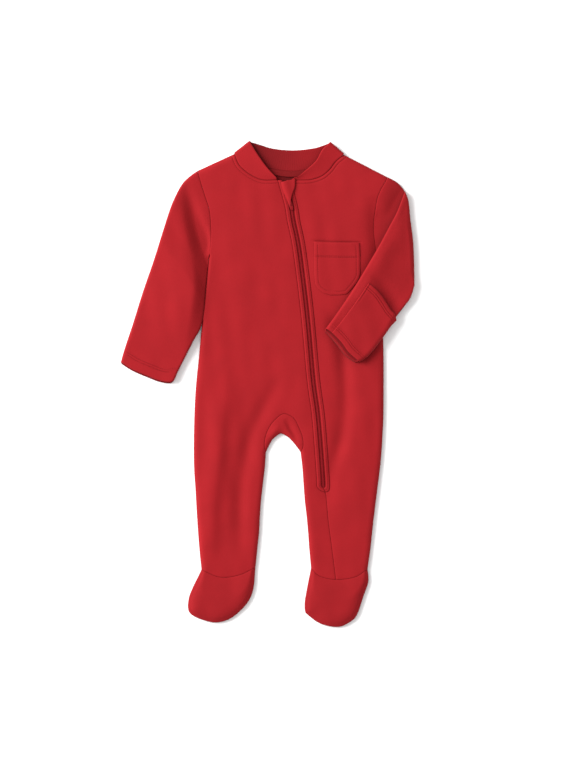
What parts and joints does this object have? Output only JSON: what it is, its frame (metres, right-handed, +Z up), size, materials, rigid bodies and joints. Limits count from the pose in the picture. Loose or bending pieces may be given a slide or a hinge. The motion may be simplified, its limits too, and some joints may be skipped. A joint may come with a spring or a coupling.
{
  "type": "footed baby sleepsuit",
  "caption": "Plain zip-front baby sleepsuit with feet, long sleeves and mitten cuffs, laid flat with one sleeve folded over the chest.",
  "frame": {"origin": "middle of the footprint, on the surface that the garment lies on", "axes": "+Z up from the surface through the front of the garment, +Y towards the neck, +X towards the wearer's left"},
  "size_m": [0.3523, 0.5827, 0.0159],
  "materials": {
    "cloth": "soft cotton interlock knit, red",
    "neck_tape": "woven tape, darker red",
    "zip_tape": "woven zip tape, darker red",
    "zip_teeth": "moulded nylon coil, dark red",
    "zip_slider": "satin enamel, dark red"
  },
  "bodies": {
    "root": {"back": "cloth", "front_right": "cloth", "front_left": "cloth", "gusset": "cloth", "sleeve_right": "cloth", "sleeve_left": "cloth", "mitten_left": "cloth", "mitten_right": "cloth", "neckband": "cloth", "neck_tape": "neck_tape", "zip_binding_right": "cloth", "zip_binding_left": "cloth", "zip_tape": "zip_tape", "zip_coil": "zip_teeth", "zip_slider": "zip_slider", "zip_pull": "zip_slider", "zip_garage": "cloth", "pocket": "cloth", "foot_right_upper": "cloth", "foot_right_sole": "cloth", "foot_left_upper": "cloth", "foot_left_sole": "cloth"}
  },
  "joints": []
}
